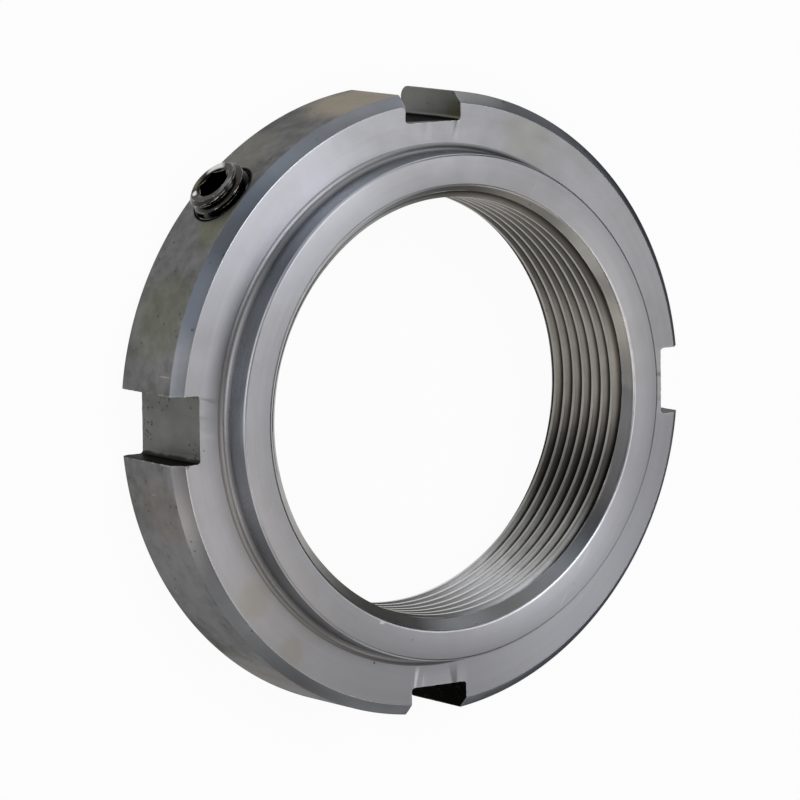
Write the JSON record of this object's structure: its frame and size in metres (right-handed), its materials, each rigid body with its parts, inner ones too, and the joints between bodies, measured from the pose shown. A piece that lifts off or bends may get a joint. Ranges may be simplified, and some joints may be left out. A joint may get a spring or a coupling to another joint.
{
  "type": "bearing lock nut",
  "caption": "Round steel bearing lock nut with a threaded bore, a raised bearing collar, spanner slots and a radial set screw over a soft clamping pad.",
  "frame": {"origin": "on the nut's axis, in the plane of its back face", "axes": "+Z along the bore's axis, out of the collar face; X and Y through the spanner slots, with the set screw half a degree from midway between -X and +Y"},
  "size_m": [0.0786, 0.0786, 0.0172],
  "materials": {
    "nut_steel": "turned steel, satin on the faces and darker on the edge",
    "black_screw_steel": "black oxide",
    "pad_brass": "plain drawn brass"
  },
  "bodies": {
    "nut": {"nut_body": "nut_steel"},
    "pad": {"clamping_pad": "pad_brass"},
    "screw": {"set_screw": "black_screw_steel"}
  },
  "joints": [
    {"name": "pad_slide", "type": "slide", "parent": "nut", "child": "pad", "axis": [0.7009, -0.7133, 0], "range_m": [0, 0.00125]},
    {"name": "screw_turn", "type": "hinge", "parent": "pad", "child": "screw", "pos_m": [-0.02769, 0.02817, 0.0066], "axis": [0.7009, -0.7133, 0], "range_deg": [0, 360]}
  ],
  "couplings": [
    {"joint": "screw_turn", "follows": "pad_slide", "rad_per_m": 5026.5}
  ]
}
